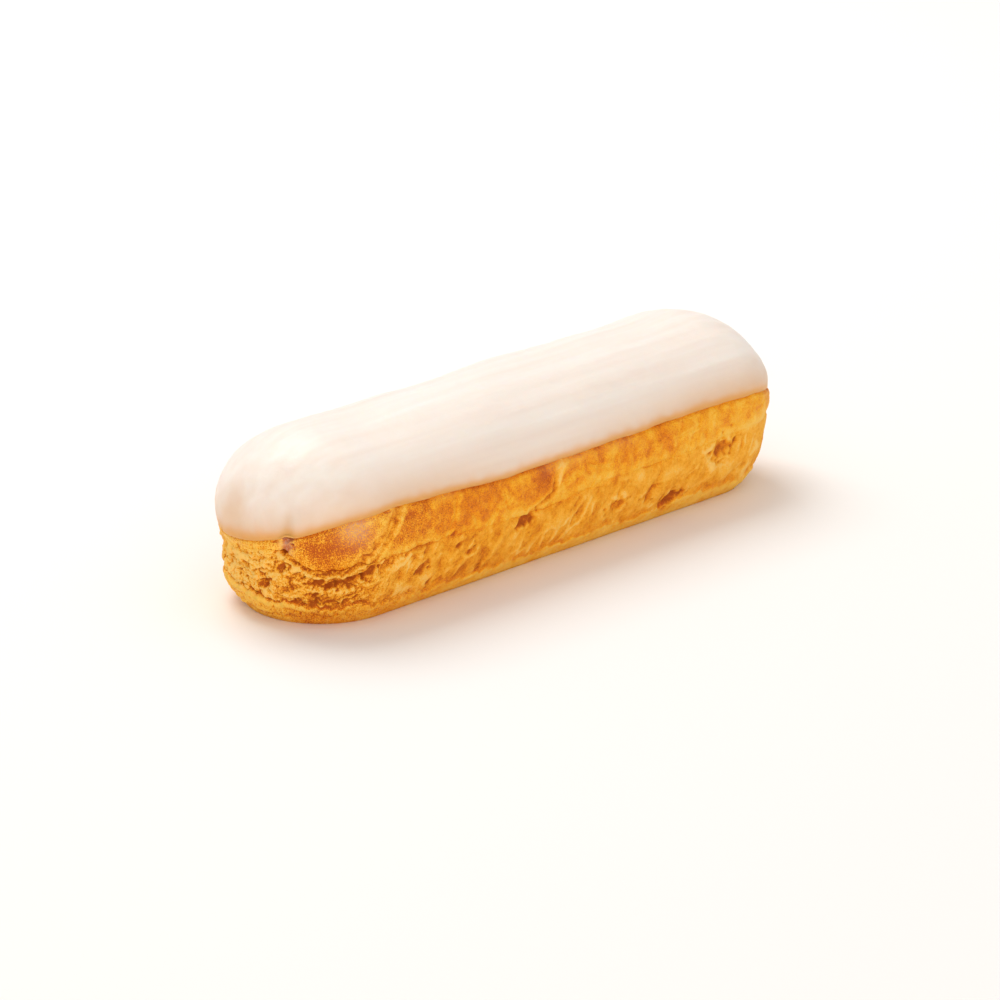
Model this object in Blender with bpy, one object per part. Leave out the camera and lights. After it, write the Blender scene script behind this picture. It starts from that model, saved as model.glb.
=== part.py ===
"""An iced eclair, at its real size in metres, +Z up.

The eclair lies along X and rests on its flat underside, with the origin in the middle of that
face. It is two pieces: the baked choux bun and the cap of fondant icing that it was dipped in.

Both are skins worked out on one grid. A column of the grid is a place along the outline, seen
from above: a stadium, two straight sides and two round ends. A row is a place up the section,
from the edge of the flat underside to the crest. The bun's section has four bands: the smooth
bottom crust, the torn flank where the dough burst as it rose, the browned cap that overhangs
it, and the crown under the icing.
"""

import bpy
import numpy as np
from mathutils import Matrix

# The whole eclair, icing included
LENGTH = 0.150
WIDTH = 0.0444
HEIGHT = 0.0368
BELT_HEIGHT = 0.0185  # the section is widest here
UNDER_DEPTH = 0.022  # the lower curve's full depth, before the baking tray flattened it
UNDER_POWER = 3.0
DOME_POWER = 2.15
END_BLUNTNESS = 0.97  # how far a round end reaches, in half widths

# The icing
ICING_THICKNESS = 0.0012
ICING_EDGE_THICKNESS = 0.0005
ICING_EASE = 0.004  # how far above its edge the icing reaches its full thickness
ICING_GAP = 0.0003  # clearance between the two solids

# Heights of the lines that part the bands, measured on the sides
ICING_LINE = 0.0240
LIP_LINE = 0.0148
CRUST_LINE = 0.0034

# How far each band lies inside the smooth outer form
CRUST_INSET = 0.0003
TORN_INSET = 0.0007
OVERHANG = 0.0009  # how much deeper the torn band lies where the cap hangs over it
OVERHANG_REACH = 0.0017
LEDGE = 0.0006  # distance from a band's last row to the next band's first
CAP_INSET = 0.0003
LIP_INSET = 0.0004  # how much the cap's lip turns in
LIP_REACH = 0.0008
COLLAR_INSET = 0.0008  # the cap where the icing ends

# A second, lower lip below the first
FOLD_DROP = 0.0019
FOLD_HEIGHT = 0.0005
FOLD_REACH = 0.0005

# Unevenness
LUMP_HEIGHT = 0.00035
LUMP_SIZE = 0.016
CRAG_HEIGHT = 0.0008
CRAG_SIZE = 0.0052
CAP_CRAGS = 0.15  # how much of the torn band's relief shows in the cap
CRUST_CRAGS = 0.3  # and in the bottom crust
FAR_TUCK = 0.0024  # how much further in the far end stands at its foot
FOOT_TUCK = 0.0026  # and how much more below its lowest bulge
FOOT_HEIGHT = 0.008

# The near end draws in below its icing, deepest a little behind its tip
WAIST_DEPTH = 0.0013
WAIST_HEIGHT = 0.0116
WAIST_REACH = 0.0030  # up and down
WAIST_PLACE = -0.012
WAIST_WIDTH = 0.014

# Columns of the grid
BUN_COLUMNS = (16, 56)  # in a quarter of the outline's round ends, and in a side
ICING_COLUMNS = (12, 38)

RADIUS = WIDTH / 2
SPINE = LENGTH - END_BLUNTNESS * WIDTH
QUARTER_TURN = np.pi * RADIUS / 2
HALF_OUTLINE = 2 * QUARTER_TURN + SPINE

# Swellings and hollows of the whole form: centre, reach and height
SWELLINGS = (
    ((-0.062, -0.004, 0.034), 0.012, 0.0005),
    ((-0.046, -0.004, 0.036), 0.010, -0.0005),
    ((0.058, 0.004, 0.033), 0.020, 0.0009),
    ((-0.0745, 0.003, 0.0245), 0.0045, -0.0007),
    ((-0.0730, -0.0090, 0.0250), 0.0035, -0.0008),
    ((-0.0755, -0.0030, 0.0235), 0.0040, 0.0004),
    ((0.010, 0.020, 0.028), 0.018, 0.0005),
    ((0.073, -0.007, 0.019), 0.007, 0.0007),
    ((0.040, -0.002, 0.037), 0.012, -0.00025),
)

# Holes torn in the flank: distance along the outline from the near tip, height, reach and depth
HOLES = (
    (0.0104, 0.0188, 0.0022, 0.0016),
    (0.0046, 0.0092, 0.0024, 0.0010),
    (0.0310, 0.0123, 0.0026, 0.0007),
    (0.0436, 0.0088, 0.0026, 0.0007),
    (0.0736, 0.0122, 0.0026, 0.0010),
    (0.1020, 0.0080, 0.0030, 0.0007),
    (0.1198, 0.0050, 0.0034, 0.0009),
    (0.1345, 0.0132, 0.0038, 0.0011),
    (-0.0300, 0.0104, 0.0032, 0.0011),
    (-0.0520, 0.0088, 0.0026, 0.0008),
    (-0.0740, 0.0072, 0.0032, 0.0009),
    (-0.0870, 0.0118, 0.0026, 0.0008),
    (-0.1130, 0.0086, 0.0034, 0.0010),
    (-0.1510, 0.0120, 0.0038, 0.0011),
)


def noise(points, cell, seed):
    """Smooth noise from -1 to 1: random values at the corners of cubes of side cell, blended."""
    table = np.random.default_rng(seed).uniform(-1, 1, 4096)
    low = np.floor(points / cell).astype(np.int64)
    blend = points / cell - low
    blend = blend * blend * (3 - 2 * blend)
    total = 0
    for corner in np.ndindex(2, 2, 2):
        x, y, z = np.moveaxis(low + corner, -1, 0)
        value = table[(x * 73 + y * 1171 + z * 2719) % 4096]
        weight = np.prod(np.where(corner, blend, 1 - blend), axis=-1)
        total = total + weight * value
    return total


def smooth_step(value):
    """0 below 0, 1 above 1, and an even rise between."""
    value = np.clip(value, 0, 1)
    return value * value * (3 - 2 * value)


def bump(distance, reach):
    """1 at no distance, falling away like a bell."""
    return np.exp(-((distance / reach) ** 2))


def section_curve(count=500):
    """The smooth section's right half, from the underside up: distance along it, radius, height."""
    drop = np.linspace(BELT_HEIGHT / UNDER_DEPTH, 0, count)
    under = RADIUS * (1 - drop**UNDER_POWER) ** (1 / UNDER_POWER)
    turn = np.linspace(0, np.pi / 2, count)[1:]
    dome = RADIUS * np.cos(turn).clip(0) ** (2 / DOME_POWER)
    rise = (HEIGHT - BELT_HEIGHT) * np.sin(turn) ** (2 / DOME_POWER)
    radius = np.concatenate([under, dome])
    height = np.concatenate([BELT_HEIGHT - UNDER_DEPTH * drop, BELT_HEIGHT + rise])
    height[0] = 0
    steps = np.hypot(np.diff(radius), np.diff(height))
    return np.concatenate([[0], np.cumsum(steps)]), radius, height


def outline_columns(end_count, side_count):
    """Distance along the outline of each column: 0 at the near tip, positive along the front."""
    near = np.linspace(0, QUARTER_TURN, end_count + 1)
    side = QUARTER_TURN + np.linspace(0, SPINE, side_count + 1)[1:]
    far = QUARTER_TURN + SPINE + near[1:]
    front = np.concatenate([near, side, far])
    return np.concatenate([front, -front[-2:0:-1]])


def spine_and_direction(along):
    """Each column's foot on the spine, as x, and its outward direction in plan."""
    reach = np.abs(along)
    foot = np.clip(reach - QUARTER_TURN, 0, SPINE) - SPINE / 2
    near = np.clip(reach / RADIUS, 0, np.pi / 2)
    far = np.clip((reach - QUARTER_TURN - SPINE) / RADIUS, 0, np.pi / 2)
    on_near_end = reach < QUARTER_TURN
    forward = np.where(on_near_end, -np.cos(near), np.sin(far))
    sideways = np.where(on_near_end, np.sin(near), np.cos(far))
    return foot, forward, np.where(along < 0, sideways, -sideways)


def smooth_form(along, up):
    """Points and outward normals of the smooth outer form, from the two distances."""
    distance, radius, height = section_curve()
    slope_r = np.gradient(radius, distance)
    slope_z = np.gradient(height, distance)
    r, z = np.interp(up, distance, radius), np.interp(up, distance, height)
    normal_r, normal_z = np.interp(up, distance, slope_z), -np.interp(up, distance, slope_r)
    foot, forward, sideways = (a[:, None] for a in spine_and_direction(along))
    points = np.stack([foot + END_BLUNTNESS * forward * r, sideways * r, z], axis=-1)
    normals = np.stack([forward * normal_r, sideways * normal_r, normal_z], axis=-1)
    return points, normals / np.linalg.norm(normals, axis=-1, keepdims=True)


def up_to(height):
    """Distance up the section to a height on the flank."""
    distance, _, heights = section_curve()
    return np.interp(height, heights, distance)


def outline_waver(along, size, seed):
    """Noise that runs round the outline and meets itself."""
    foot, forward, sideways = spine_and_direction(along)
    ring = np.stack([foot + forward * RADIUS, sideways * RADIUS, 0 * foot], axis=-1)
    return noise(ring, size, seed)


def icing_line(along):
    """Height of the icing's edge: level on the sides, hanging lower at both tips."""
    near_drop = 0.0066 * bump(along + 0.006, 0.019)
    far_drop = 0.0060 * bump(np.abs(along) - HALF_OUTLINE, 0.020)
    return ICING_LINE - near_drop - far_drop + 0.0004 * outline_waver(along, 0.014, 5)


def lip_line(along):
    """Height of the cap's torn lower lip. It sags in lobes and climbs to the icing at the near tip."""
    lobe = 0.0027 * bump(along - 0.018, 0.0065)
    back_lobes = 0.0026 * (bump(along + 0.045, 0.010) + bump(along + 0.105, 0.012))
    rise = 0.0020 * bump(along + 0.002, 0.009)
    return LIP_LINE + rise - lobe - back_lobes + 0.0009 * outline_waver(along, 0.011, 6)


def crust_line(along):
    """Height of the bottom crust's ragged upper edge."""
    rise = 0.0024 * bump(along + 0.003, 0.011)
    return CRUST_LINE + rise + 0.0009 * outline_waver(along, 0.006, 7)


def overhang(along):
    """How far the cap hangs over the torn band, 0 to 1: most under the near lobe, least at the tip."""
    off_tip = smooth_step((np.abs(along + 0.004) - 0.009) / 0.005)
    elsewhere = 0.55 * smooth_step(2 * outline_waver(along, 0.012, 8))
    return 0.15 + off_tip * np.clip(0.12 + 0.85 * bump(along - 0.024, 0.017) + elsewhere, 0, 0.85)


def lumps(points):
    """Slow unevenness of the whole form, in metres outwards."""
    total = LUMP_HEIGHT * noise(points, LUMP_SIZE, 1)
    for centre, reach, height in SWELLINGS:
        total = total + height * bump(np.linalg.norm(points - centre, axis=-1), reach)
    return total


def crags(points, along):
    """Relief of the torn flank, in metres outwards: crags and the holes between them."""
    total = CRAG_HEIGHT * noise(points, CRAG_SIZE, 2)
    for place, height, reach, depth in HOLES:
        apart = np.hypot(along[:, None] - place, points[..., 2] - height)
        total = total - depth * bump(apart, reach)
    return total


def waist(points, along):
    """How far the near end draws in below its icing."""
    around = bump(along - WAIST_PLACE, WAIST_WIDTH)[:, None]
    return WAIST_DEPTH * around * bump(points[..., 2] - WAIST_HEIGHT, WAIST_REACH)


def fold(along, up):
    """The second lip: a ridge below the first, under the near lobe and here and there round the bun."""
    place = up - up_to(lip_line(along))[:, None] + FOLD_DROP
    strength = bump(along - 0.020, 0.009) + 0.5 * smooth_step(3 * outline_waver(along, 0.011, 9))
    return FOLD_HEIGHT * strength[:, None] * bump(place, FOLD_REACH)


def crown_rows(along):
    """Rows above the icing's edge: distance up the section, and the bun's inset there."""
    start = up_to(icing_line(along))
    crest = section_curve()[0][-1]
    shares = np.array([0, 0.045, 0.11, 0.2, 0.34, 0.5, 0.67, 0.84, 1])
    up = start[:, None] + (crest - start)[:, None] * shares
    deepest = ICING_THICKNESS + ICING_GAP
    eased = smooth_step((up - start[:, None]) / ICING_EASE)
    return up, COLLAR_INSET + (deepest - COLLAR_INSET) * eased


def flank_rows(along):
    """Rows below the icing's edge, a few in each band: distance up the section."""
    crust, lip, collar = (up_to(line(along)) for line in (crust_line, lip_line, icing_line))
    bands = (
        (0 * crust, crust, (0.28, 0.62, 1)),
        (crust + LEDGE, lip - LEDGE, (0, 0.18, 0.36, 0.54, 0.7, 0.86, 1)),
        (lip, collar, (0, 0.22, 0.5, 0.78)),
    )
    rows = [low + (high - low) * share for low, high, shares in bands for share in shares]
    return np.stack(rows, axis=1)


def flank_relief(points, along, up):
    """How far the flank stands outside the smooth form: a level for each band, with its crags."""
    crust, lip = (up_to(line(along))[:, None] for line in (crust_line, lip_line))
    strength = overhang(along)[:, None]
    below_lip = np.clip(lip - up, 0, None)
    above_lip = np.clip(up - lip, 0, None)
    torn = -TORN_INSET - OVERHANG * strength * np.exp(-below_lip / OVERHANG_REACH)
    torn = torn + crags(points, along) + fold(along, up)
    cap = -CAP_INSET - LIP_INSET * strength * np.exp(-above_lip / LIP_REACH)
    cap = cap + CAP_CRAGS * crags(points, along)
    bottom = -CRUST_INSET + CRUST_CRAGS * crags(points, along)
    relief = np.where(up > lip - LEDGE / 2, cap, np.where(up < crust + LEDGE / 2, bottom, torn))
    return relief - waist(points, along)


def tuck_far_end(points):
    """Leans the far end's foot inwards."""
    past = np.clip((points[..., 0] - SPINE / 2) / RADIUS, 0, 1)
    below_belt = np.clip(1 - points[..., 2] / BELT_HEIGHT, 0, 1)
    at_foot = np.clip(1 - points[..., 2] / FOOT_HEIGHT, 0, 1)
    moved = points.copy()
    moved[..., 0] -= FAR_TUCK * past**2 * below_belt + FOOT_TUCK * past * at_foot**1.5
    return moved


def raised(along, up, height):
    """Points that stand the given height outside the smooth form, with its lumps."""
    points, normals = smooth_form(along, up)
    outwards = lumps(points) + height
    return tuck_far_end(points + normals * outwards[..., None])


def grid_faces(lower, upper):
    """Faces between two rings of vertex numbers, leaving out repeats where a ring closes up."""
    faces = []
    for i in range(len(lower)):
        j = (i + 1) % len(lower)
        corners = (lower[i], lower[j], upper[j], upper[i])
        faces.append(tuple(dict.fromkeys(corners)))
    return faces


def crest_numbers(along, first):
    """Vertex numbers of a crest row: the front and the back share the points over the spine."""
    foot = spine_and_direction(along)[0]
    stations, number = np.unique(np.round(foot, 7), return_inverse=True)
    return first + number, len(stations)


def rings_of(rows, along, first):
    """Vertex positions and ring numbers for rows that end in a shared crest."""
    columns = len(along)
    open_rows = rows[:, :-1]
    positions = [tuple(p) for k in range(open_rows.shape[1]) for p in open_rows[:, k]]
    rings = [first + k * columns + np.arange(columns) for k in range(open_rows.shape[1])]
    crest, count = crest_numbers(along, first + len(positions))
    crest_points = {n: tuple(p) for n, p in zip(crest, rows[:, -1])}
    positions += [crest_points[n] for n in sorted(crest_points)]
    assert len(crest_points) == count
    return positions, rings + [crest]


def add_object(name, positions, faces, material):
    mesh = bpy.data.meshes.new(name)
    mesh.from_pydata(positions, [], faces)
    mesh.materials.append(material)
    mesh.validate()
    mesh.shade_smooth()
    mesh.set_sharp_from_angle(angle=np.radians(50))
    made = bpy.data.objects.new(name, mesh)
    bpy.context.scene.collection.objects.link(made)
    return made


def add_material(name, colour, roughness):
    material = bpy.data.materials.new(name)
    material.use_nodes = True
    shader = material.node_tree.nodes["Principled BSDF"]
    shader.inputs["Base Color"].default_value = (*colour, 1)
    shader.inputs["Roughness"].default_value = roughness
    shader.inputs["Metallic"].default_value = 0
    return material


def make_choux():
    """The bun: one closed skin round the outline, from its flat underside to its crest."""
    along = outline_columns(*BUN_COLUMNS)
    flank_up = flank_rows(along)
    flank = raised(along, flank_up, flank_relief(smooth_form(along, flank_up)[0], along, flank_up))
    crown_up, crown_inset = crown_rows(along)
    crown = raised(along, crown_up, -crown_inset)

    foot = raised(along, 0 * along[:, None], -CRUST_INSET)
    foot[..., 2] = 0
    positions, rings = rings_of(np.concatenate([foot, flank, crown], axis=1), along, 0)
    faces = [tuple(int(n) for n in rings[0][::-1])]
    for lower, upper in zip(rings, rings[1:]):
        faces += grid_faces(lower, upper)
    crust = add_material("baked choux", (0.78, 0.42, 0.10), 0.7)
    return add_object("choux", positions, faces, crust)


def make_icing():
    """The icing: an outer and an inner skin over the crown, joined by a rounded edge."""
    along = outline_columns(*ICING_COLUMNS)
    up, bun_inset = crown_rows(along)
    inner_height = ICING_GAP - bun_inset
    full_height = 0 * inner_height
    eased = smooth_step((up - up[:, :1]) / ICING_EASE) ** 0.6
    edge_height = inner_height + ICING_EDGE_THICKNESS
    outer_height = edge_height + (full_height - edge_height) * eased
    inner, inner_rings = rings_of(raised(along, up, inner_height), along, 0)
    outer, outer_rings = rings_of(raised(along, up, outer_height), along, len(inner))

    roundness = 0.0003
    nose_up = up[:, :1] - roundness
    nose_height = inner_height[:, :1] + ICING_EDGE_THICKNESS / 2
    nose = raised(along, nose_up, nose_height)
    positions = inner + outer + [tuple(p) for p in nose[:, 0]]
    nose_ring = len(inner) + len(outer) + np.arange(len(along))
    faces = []
    for lower, upper in zip(outer_rings, outer_rings[1:]):
        faces += grid_faces(lower, upper)
    for lower, upper in zip(inner_rings, inner_rings[1:]):
        faces += grid_faces(upper, lower)
    faces += grid_faces(nose_ring, outer_rings[0])
    faces += grid_faces(inner_rings[0], nose_ring)
    fondant = add_material("fondant icing", (0.93, 0.88, 0.80), 0.35)
    return add_object("icing", positions, faces, fondant)


def centre_over_origin(objects):
    """Slides the objects together, so that the middle of their outline is over the origin."""
    corners = np.array([corner for made in objects for corner in made.bound_box])
    middle = (corners.min(axis=0) + corners.max(axis=0)) / 2
    for made in objects:
        made.data.transform(Matrix.Translation((-middle[0], -middle[1], 0)))


def main():
    for old in list(bpy.data.objects):
        bpy.data.objects.remove(old)
    centre_over_origin([make_choux(), make_icing()])


main()
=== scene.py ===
# %% [markdown]
# # An iced eclair
#
# An eclair is a bun of choux dough. It is piped as a straight finger, baked until steam blows it
# up, and dipped crown first into warm fondant. This lesson dresses a plain model of one. The
# plain model is the frame: it holds the sizes, and every piece made here takes its place.

import bpy
import numpy as np
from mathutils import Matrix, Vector


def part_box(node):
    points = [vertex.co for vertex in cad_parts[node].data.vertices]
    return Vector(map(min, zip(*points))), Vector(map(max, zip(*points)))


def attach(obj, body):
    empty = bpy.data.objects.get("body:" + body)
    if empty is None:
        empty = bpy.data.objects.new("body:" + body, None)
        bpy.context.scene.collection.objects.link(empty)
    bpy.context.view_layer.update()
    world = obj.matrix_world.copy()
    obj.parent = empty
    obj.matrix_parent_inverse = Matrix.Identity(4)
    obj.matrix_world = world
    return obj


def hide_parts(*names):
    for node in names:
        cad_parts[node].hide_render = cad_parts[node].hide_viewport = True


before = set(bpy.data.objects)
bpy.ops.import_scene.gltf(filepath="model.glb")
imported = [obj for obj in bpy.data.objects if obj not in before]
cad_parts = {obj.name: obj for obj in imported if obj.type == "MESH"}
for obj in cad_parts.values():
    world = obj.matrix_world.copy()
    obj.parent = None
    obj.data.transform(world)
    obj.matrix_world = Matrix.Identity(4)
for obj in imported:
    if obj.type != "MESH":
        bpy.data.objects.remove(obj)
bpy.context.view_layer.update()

MM = 0.001
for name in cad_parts:
    low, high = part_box(name)
    print(name, "is", [round(side / MM, 1) for side in high - low], "mm")

# %% [markdown]
# ## Noise
#
# Nothing baked is regular, so most of the work is controlled unevenness. Blender's texture nodes
# could make it, but only in the material. Here the shape itself has to be uneven, so the noise is
# worked out with numpy, for all the points at once. Two kinds do everything: a smooth one for
# swellings and wrinkles, and one made of cells for the bubbles that burst in the dough.

# %% Smooth noise
SAMPLE = np.random.default_rng(0).uniform(size=(2000, 3))


def noise(points, size, seed):
    """Gradient noise, about -1 to 1: each corner of a lattice of cubes has a random direction,
    and a point blends the dot products of those directions with its offsets from the corners."""
    table = np.random.default_rng(seed).normal(size=(2048, 3))
    table /= np.linalg.norm(table, axis=1, keepdims=True)
    place = points / size
    low = np.floor(place).astype(np.int64)
    offset = place - low
    blend = offset**3 * (offset * (offset * 6 - 15) + 10)
    total = 0
    for corner in np.ndindex(2, 2, 2):
        x, y, z = np.moveaxis(low + corner, -1, 0)
        direction = table[(x * 73856093 ^ y * 19349663 ^ z * 83492791) & 2047]
        weight = np.prod(np.where(corner, blend, 1 - blend), axis=-1)
        total = total + weight * np.sum(direction * (offset - corner), axis=-1)
    return 1.6 * total


def layered_noise(points, size, seed, layers=3):
    """Noise at a size, plus half as much at half the size, and so on."""
    return sum(noise(points, size / 2**k, seed + k) / 2**k for k in range(layers))


def three_noises(points, size, seed):
    """Three noises as a vector, to push a pattern about."""
    return np.stack([noise(points, size, seed + k) for k in range(3)], axis=-1)


smooth_sample = noise(SAMPLE, 0.1, 0)
print("smooth noise runs from", smooth_sample.min().round(2), "to", smooth_sample.max().round(2))


# %% Cell noise
def cells(points, size, seed):
    """Cellular noise: each cube of a lattice holds one random centre. Returns how much further
    the second nearest centre is than the nearest, in cubes, and a random number that is the same
    all over a cell."""
    random = np.random.default_rng(seed).uniform(size=(4096, 4))
    place = points / size
    low = np.floor(place).astype(np.int64)
    first = np.full(points.shape[:-1], 9.0)
    second, own = first.copy(), 0 * first
    for neighbour in np.ndindex(3, 3, 3):
        cube = low + neighbour - 1
        x, y, z = np.moveaxis(cube, -1, 0)
        drawn = random[(x * 73856093 ^ y * 19349663 ^ z * 83492791) & 4095]
        distance = np.linalg.norm(cube + drawn[..., :3] - place, axis=-1)
        second = np.minimum(second, np.maximum(first, distance))
        own = np.where(distance < first, drawn[..., 3], own)
        first = np.minimum(first, distance)
    return second - first, own


print("cells are parted by gaps of up to", cells(SAMPLE, 0.1, 0)[0].max().round(2), "cubes")


# %% A rise and a bell
def smooth_step(value):
    """0 below 0, 1 above 1, and an even rise between."""
    value = np.clip(value, 0, 1)
    return value * value * (3 - 2 * value)


def bump(distance, reach):
    """1 at no distance, falling away like a bell."""
    return np.exp(-((distance / reach) ** 2))


print("one reach away, a bell is down to", round(float(bump(1, 1)), 2))

# %% [markdown]
# ## The piped finger
#
# The dough leaves the nozzle as a finger with round ends, and the tray flattens its underside. It
# could be a stretched sphere, but its section isn't round: it is a squashed oval above and nearly
# a box below. So it is a surface of two parameters. One runs along the outline, seen from above,
# and the other runs up the section, from the edge of the flat underside to the crest.

# %% Sizes of the finger
LENGTH = 150 * MM
WIDTH = 44.4 * MM
HEIGHT = 36.8 * MM
BELT = 18.5 * MM  # the height where it is widest
UNDER_DEPTH = 22 * MM  # the lower curve's depth, before the tray flattened it
UNDER_POWER = 3.0
DOME_POWER = 2.15
END_BLUNTNESS = 0.97  # how far a round end reaches, in half widths

RADIUS = WIDTH / 2
SPINE = LENGTH - END_BLUNTNESS * WIDTH
QUARTER = np.pi * RADIUS / 2
HALF_OUTLINE = 2 * QUARTER + SPINE
print("round the outline it is", round(2 * HALF_OUTLINE / MM), "mm")


# %% The section
def section(count=2000):
    """Half the section, a superellipse in each half: distance along it, radius and height."""
    drop = np.linspace(BELT / UNDER_DEPTH, 0, count)
    under = RADIUS * (1 - drop**UNDER_POWER) ** (1 / UNDER_POWER)
    turn = np.linspace(0, np.pi / 2, count)[1:]
    dome = RADIUS * np.cos(turn).clip(0) ** (2 / DOME_POWER)
    radius = np.concatenate([under, dome])
    rise = (HEIGHT - BELT) * np.sin(turn) ** (2 / DOME_POWER)
    height = np.concatenate([BELT - UNDER_DEPTH * drop, BELT + rise])
    steps = np.hypot(np.diff(radius), np.diff(height))
    return np.concatenate([[0], np.cumsum(steps)]), radius, height


SECTION_DISTANCE, SECTION_RADIUS, SECTION_HEIGHT = section()
CREST = SECTION_DISTANCE[-1]


def up_to(height):
    """Distance up the section to a height on the flank."""
    return np.interp(height, SECTION_HEIGHT, SECTION_DISTANCE)


print("up the section it is", round(CREST / MM), "mm, and to the belt", round(up_to(BELT) / MM), "mm")


# %% The outline and the whole surface
def outline(along):
    """A stadium seen from above: the foot on the spine, as x, and the outward direction.
    along is 0 at the near tip, positive along the front and negative along the back."""
    reach = np.abs(along)
    foot = np.clip(reach - QUARTER, 0, SPINE) - SPINE / 2
    near_turn = np.clip(reach / RADIUS, 0, np.pi / 2)
    far_turn = np.clip((reach - QUARTER - SPINE) / RADIUS, 0, np.pi / 2)
    forward = np.where(reach < QUARTER, -np.cos(near_turn), np.sin(far_turn))
    sideways = np.where(reach < QUARTER, np.sin(near_turn), np.cos(far_turn))
    return foot, forward, np.where(along < 0, sideways, -sideways)


def unit(vectors):
    """Vectors of length one."""
    return vectors / np.linalg.norm(vectors, axis=-1, keepdims=True)


def finger(along, up):
    """Points of the smooth finger, its outward normals and its upward tangents: the section's
    radius is laid off from the spine in the outline's direction."""
    slope_r = np.gradient(SECTION_RADIUS, SECTION_DISTANCE)
    slope_z = np.gradient(SECTION_HEIGHT, SECTION_DISTANCE)
    slope_r[-1], slope_z[-1] = -1, 0  # the crest is level, so the front and the back meet there
    r, z, dr, dz = (
        np.interp(up, SECTION_DISTANCE, values)
        for values in (SECTION_RADIUS, SECTION_HEIGHT, slope_r, slope_z)
    )
    foot, forward, sideways = outline(along)
    ahead = END_BLUNTNESS * forward
    points = np.stack([foot + ahead * r, sideways * r, z], axis=-1)
    normals = np.stack([forward * dz, sideways * dz, -dr], axis=-1)
    tangents = np.stack([ahead * dr, sideways * dr, dz], axis=-1)
    return points, unit(normals), unit(tangents)


tip = finger(np.array([0.0]), np.array([up_to(BELT)]))[0][0]
print("the near tip's belt is at", (tip / MM).round(1), "mm")

# %% [markdown]
# ## The bands of the flank
#
# In the oven the outside of the dough sets before the inside has finished rising. The inside then
# tears the flank open. That leaves three bands below the icing: a browned cap, a pale torn band
# and the smooth crust that lay on the tray. The bands could be painted on, but their edges are
# steps in the shape. So three lines part them. Each line is a height that changes along the
# outline, given at a few places and smoothed between.

# %% How a line is made
LINE_STEP = 0.2 * MM
BLUR_STEPS = 40  # the blur looks this many steps each way


def line(places, blur, waver, seed):
    """A height as a function of distance along the outline: straight between the given places,
    blurred with a bell of the given reach, with noise added that meets itself at the far tip."""
    grid = np.arange(-HALF_OUTLINE, HALF_OUTLINE, LINE_STEP)
    where, height = np.array(sorted(places)).T * MM
    heights = np.interp(grid, where, height, period=2 * HALF_OUTLINE)
    kernel = bump(np.arange(-BLUR_STEPS, BLUR_STEPS + 1) * LINE_STEP, blur)
    wrapped = np.concatenate([heights[-BLUR_STEPS:], heights, heights[:BLUR_STEPS]])
    heights = np.convolve(wrapped, kernel / kernel.sum(), "valid")
    foot, forward, sideways = outline(grid)
    ring = np.stack([foot + forward * RADIUS, sideways * RADIUS, 0 * foot], axis=-1)
    for size, amount in waver:
        heights = heights + amount * noise(ring, size, seed)
    return lambda along: np.interp(along, grid, heights, period=2 * HALF_OUTLINE)


print("a line has a height every", LINE_STEP / MM, "mm")


# %% The lines: each place is along in mm and height in mm
icing_line = line(
    [(0, 18.0), (8.5, 19.6), (10.3, 20.7), (12, 20.2), (16, 21.5), (25, 23.6), (36, 24.7),
     (53, 23.9), (68, 23.2), (92, 23.3), (135, 23.9), (147, 23.5), (156, 22.0), (166, 19.5),
     (176, 17.8), (-6, 17.4), (-11, 17.6), (-20, 20.3), (-30, 23.0), (-45, 23.9), (-70, 23.2),
     (-96, 24.0), (-125, 23.3), (-145, 23.7), (-157, 21.6), (-168, 18.6)],
    0.9 * MM, [(9 * MM, 0.25 * MM), (3.5 * MM, 0.12 * MM)], 11,
)
lip_line = line(
    [(-8, 15.6), (4, 17.0), (9, 17.6), (11, 16.9), (13.5, 14.6), (16.5, 13.6), (19.5, 13.4),
     (23.5, 13.8), (26, 14.8), (29, 14.0), (33, 14.4), (50, 14.7), (62, 14.1), (76, 13.5),
     (87, 14.1), (98, 15.6), (118, 15.2), (130, 15.8), (146, 16.5), (160, 16.2), (176, 15.6),
     (-160, 15.2), (-146, 13.6), (-128, 15.4), (-105, 13.0), (-88, 15.2), (-64, 14.2),
     (-47, 12.4), (-34, 15.0), (-20, 15.4)],
    1.1 * MM, [(5 * MM, 0.35 * MM), (2 * MM, 0.3 * MM)], 12,
)
fold_line = line(  # a second lip below the near lobe
    [(8, 16.4), (10.5, 15.2), (14.5, 12.3), (18, 11.5), (23, 12.0), (27.5, 13.5), (34, 13.8)],
    0.8 * MM, [(3 * MM, 0.3 * MM), (1.5 * MM, 0.25 * MM)], 14,
)
crust_line = line(
    [(-4, 6.4), (1, 5.2), (4.5, 4.4), (7, 4.4), (11, 5.6), (13.5, 3.9), (16.5, 3.6), (22, 4.0),
     (25.5, 5.2), (30, 3.6), (44, 2.9), (60, 3.4), (74, 2.6), (94, 3.2), (115, 2.8), (130, 3.9),
     (145, 3.2), (165, 4.4), (-12, 6.8), (-24, 4.2), (-50, 3.2), (-80, 2.7), (-110, 3.6),
     (-150, 3.2)],
    0.8 * MM, [(4 * MM, 0.7 * MM), (1.5 * MM, 0.9 * MM)], 13,
)
for name, edge in (("icing", icing_line), ("cap", lip_line), ("crust", crust_line)):
    print("halfway along the front the", name, "ends at", round(edge(HALF_OUTLINE / 2) / MM, 1), "mm")

# %% [markdown]
# ## A grid for the bun
#
# The bun is one closed skin. An even grid could carry it, but it would need to be fine everywhere
# to show a torn edge. So this grid has columns round the outline and rows up the section, and the
# rows follow the three lines. They are closest in the torn band, where the detail is, and widest
# under the icing and on the tray side, where none shows.

# %% Columns
COLUMNS = 1000
CLOSER = 1.8  # how much closer the columns are at the near end
CLOSE_UP_TO, CLOSE_FADE = 32 * MM, 16 * MM


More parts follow.
